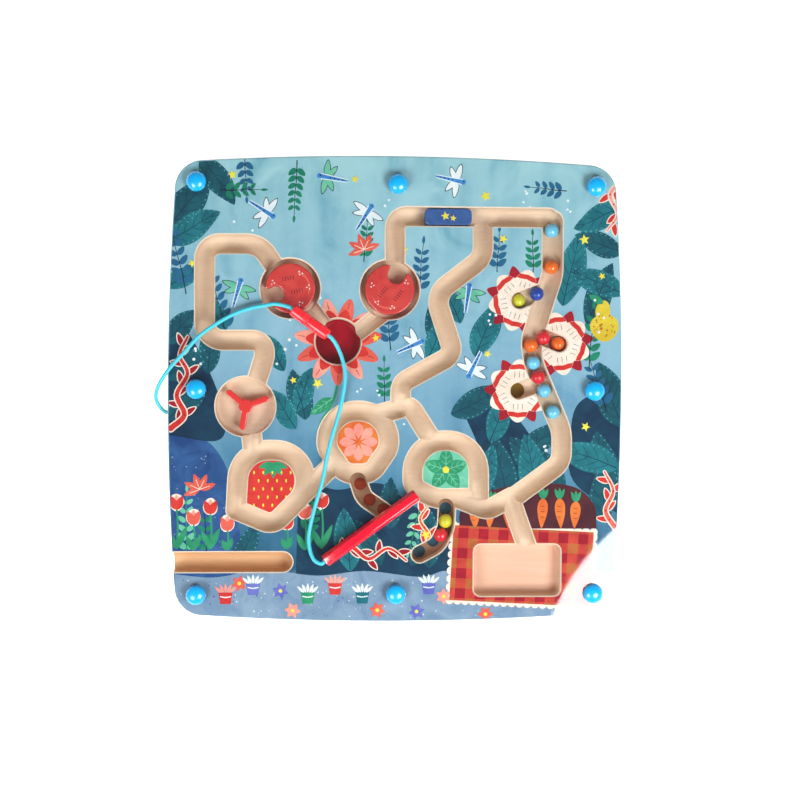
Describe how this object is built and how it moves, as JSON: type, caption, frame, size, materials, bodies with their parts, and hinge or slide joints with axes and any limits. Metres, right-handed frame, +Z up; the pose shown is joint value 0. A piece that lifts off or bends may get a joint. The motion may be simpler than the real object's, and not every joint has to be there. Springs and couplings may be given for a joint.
{
  "type": "magnetic maze board",
  "caption": "Square toy maze with round corners: routed wooden channels and rooms under a clear cover, coloured balls, turning gates and a corded magnet pen that steers them",
  "frame": {"origin": "middle of the board's flat underside", "axes": "+Z up out of the board, +Y towards the top edge of the picture, +X to its right, the pen and cord on the left half"},
  "size_m": [0.3091, 0.307, 0.0264],
  "materials": {
    "panel_wood": "pale routed wood, printed picture on the top face, bare in the channels",
    "clear_cover": "clear acrylic sheet, polished",
    "cap_blue": "bright blue moulded plastic",
    "screw_steel": "zinc plated steel",
    "pin_steel": "plain steel pin",
    "disc_red": "red lacquered wood with a small printed pattern",
    "spinner_red": "bright red plastic",
    "slider_blue": "dark blue lacquered wood with printed stars",
    "ball_light_blue": "light blue enamel over steel, glossy",
    "ball_orange": "orange enamel over steel, glossy",
    "ball_navy": "navy enamel over steel, glossy",
    "ball_yellow": "yellow enamel over steel, glossy",
    "ball_red": "red enamel over steel, glossy",
    "cord_cyan": "round cyan cord",
    "clasp_red": "bright red plastic",
    "pen_red": "red gloss lacquer on wood",
    "magnet_steel": "plated magnet"
  },
  "bodies": {
    "board": {"maze_panel": "panel_wood", "cover_sheet": "clear_cover", "cover_cap_top_left": "cap_blue", "cover_cap_top_centre": "cap_blue", "cover_cap_top_right": "cap_blue", "cover_cap_middle_left": "cap_blue", "cover_cap_middle_right": "cap_blue", "cover_cap_bottom_left": "cap_blue", "cover_cap_bottom_centre": "cap_blue", "cover_cap_bottom_right": "cap_blue", "cover_screw_top_left": "screw_steel", "cover_screw_top_centre": "screw_steel", "cover_screw_top_right": "screw_steel", "cover_screw_middle_left": "screw_steel", "cover_screw_middle_right": "screw_steel", "cover_screw_bottom_left": "screw_steel", "cover_screw_bottom_centre": "screw_steel", "cover_screw_bottom_right": "screw_steel", "disc_pin_left": "pin_steel", "disc_pin_right": "pin_steel", "spinner_pin": "pin_steel", "cord_board_side": "cord_cyan", "clasp_socket": "clasp_red"},
    "disc_left": {"disc_left": "disc_red"},
    "disc_right": {"disc_right": "disc_red"},
    "spinner": {"spinner": "spinner_red"},
    "slider": {"slider_block": "slider_blue"},
    "ball_01": {"ball_01": "ball_light_blue"},
    "ball_02": {"ball_02": "ball_orange"},
    "ball_03": {"ball_03": "ball_navy"},
    "ball_04": {"ball_04": "ball_yellow"},
    "ball_05": {"ball_05": "ball_red"},
    "ball_06": {"ball_06": "ball_orange"},
    "ball_07": {"ball_07": "ball_orange"},
    "ball_08": {"ball_08": "ball_light_blue"},
    "ball_09": {"ball_09": "ball_red"},
    "ball_10": {"ball_10": "ball_light_blue"},
    "ball_11": {"ball_11": "ball_light_blue"},
    "ball_12": {"ball_12": "ball_yellow"},
    "ball_13": {"ball_13": "ball_red"},
    "tether": {"clasp_plug": "clasp_red", "cord_pen_side": "cord_cyan"},
    "pen": {"pen_barrel": "pen_red", "pen_magnet": "magnet_steel"}
  },
  "joints": [
    {"name": "disc_left_turn", "type": "hinge", "parent": "board", "child": "disc_left", "pos_m": [-0.0702, 0.06631, 0.0094], "axis": [0, 0, 1], "continuous": true},
    {"name": "disc_right_turn", "type": "hinge", "parent": "board", "child": "disc_right", "pos_m": [-0.0048, 0.066, 0.0094], "axis": [0, 0, 1], "continuous": true},
    {"name": "spinner_turn", "type": "hinge", "parent": "board", "child": "spinner", "pos_m": [-0.0993, -0.01136, 0.0094], "axis": [0, 0, 1], "continuous": true},
    {"name": "slider_slide", "type": "slide", "parent": "board", "child": "slider", "axis": [1, 0, 0], "range_m": [-0.013, 0.049]},
    {"name": "ball_01_roll", "type": "slide", "parent": "board", "child": "ball_01", "axis": [0, 1, 0], "range_m": [-0.014, 0.0055]},
    {"name": "ball_02_roll", "type": "slide", "parent": "board", "child": "ball_02", "axis": [0, 1, 0], "range_m": [-0.0055, 0.014]},
    {"name": "ball_03_roll", "type": "slide", "parent": "board", "child": "ball_03", "axis": [0.9301, 0.3674, 0], "range_m": [-0.003, 0.005]},
    {"name": "ball_04_lift", "type": "slide", "parent": "board", "child": "ball_04", "axis": [0, 0, 1], "range_m": [0, 0.0015]},
    {"name": "ball_05_roll", "type": "slide", "parent": "board", "child": "ball_05", "axis": [0.9267, -0.3758, 0], "range_m": [-0.0003, 0.0011]},
    {"name": "ball_06_lift", "type": "slide", "parent": "board", "child": "ball_06", "axis": [0, 0, 1], "range_m": [0, 0.0015]},
    {"name": "ball_07_roll", "type": "slide", "parent": "board", "child": "ball_07", "axis": [0, 1, 0], "range_m": [-0.0019, 0.0004]},
    {"name": "ball_08_roll", "type": "slide", "parent": "board", "child": "ball_08", "axis": [-0.2991, 0.9542, 0], "range_m": [-0.0004, 0.0019]},
    {"name": "ball_09_roll", "type": "slide", "parent": "board", "child": "ball_09", "axis": [-0.394, 0.9191, 0], "range_m": [-0.0004, 0.0004]},
    {"name": "ball_10_roll", "type": "slide", "parent": "board", "child": "ball_10", "axis": [-0.394, 0.9191, 0], "range_m": [-0.0055, 0.0004]},
    {"name": "ball_11_roll", "type": "slide", "parent": "board", "child": "ball_11", "axis": [-0.394, 0.9191, 0], "range_m": [-0.011, 0.0055]},
    {"name": "ball_12_roll", "type": "slide", "parent": "board", "child": "ball_12", "axis": [0.0465, 0.9989, 0], "range_m": [0, 0.01]},
    {"name": "ball_13_roll", "type": "slide", "parent": "board", "child": "ball_13", "axis": [0.5305, 0.8477, 0], "range_m": [-0.0072, 0]},
    {"name": "clasp_release", "type": "slide", "parent": "board", "child": "tether", "axis": [0.8121, -0.5835, 0], "range_m": [0, 0.015]},
    {"name": "pen_lift", "type": "slide", "parent": "tether", "child": "pen", "axis": [0, 0, 1], "range_m": [0, 0.04]}
  ]
}
